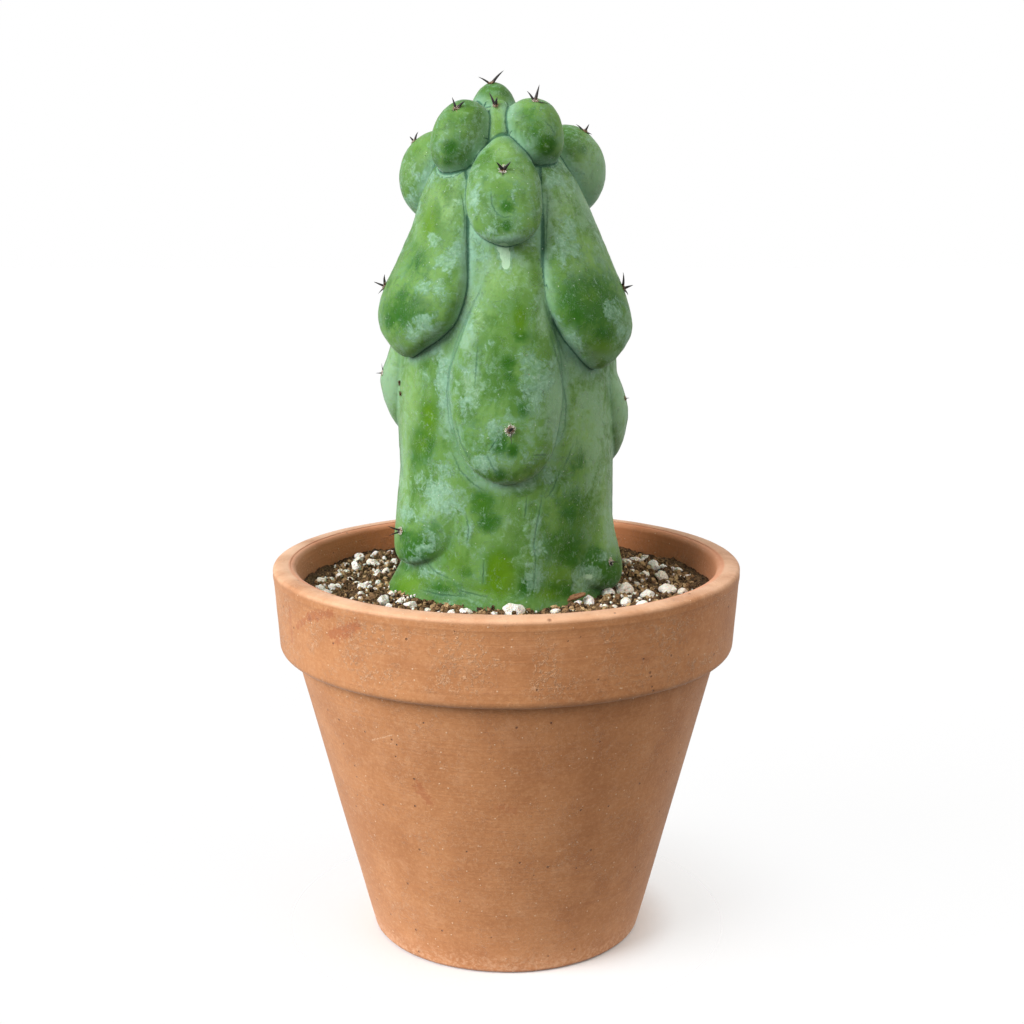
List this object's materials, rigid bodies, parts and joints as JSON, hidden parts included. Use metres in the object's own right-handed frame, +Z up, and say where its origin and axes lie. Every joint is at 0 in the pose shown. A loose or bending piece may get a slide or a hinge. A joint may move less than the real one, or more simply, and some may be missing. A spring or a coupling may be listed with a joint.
{
  "type": "potted boobie cactus",
  "caption": "Column cactus with drooping rounded tubercles and short dark spines, growing in gritty soil in a round terracotta pot with a thick collar.",
  "frame": {"origin": "centre of the pot's flat base, on the pot's axis", "axes": "+Z up along the pot and the stem; -Y towards the side that shows in the picture, with one drop and the shield tubercle in its middle; +X to the right of it"},
  "size_m": [0.15, 0.15, 0.276],
  "materials": {
    "terracotta": "unglazed fired clay, matt, faintly scratched and speckled",
    "potting_soil": "dark crumbled peat with white perlite",
    "cactus_skin": "smooth waxy skin with a rubbed blue-grey bloom, dark spines in small woolly areoles"
  },
  "bodies": {
    "root": {"pot": "terracotta", "soil": "potting_soil", "cactus": "cactus_skin"}
  },
  "joints": []
}
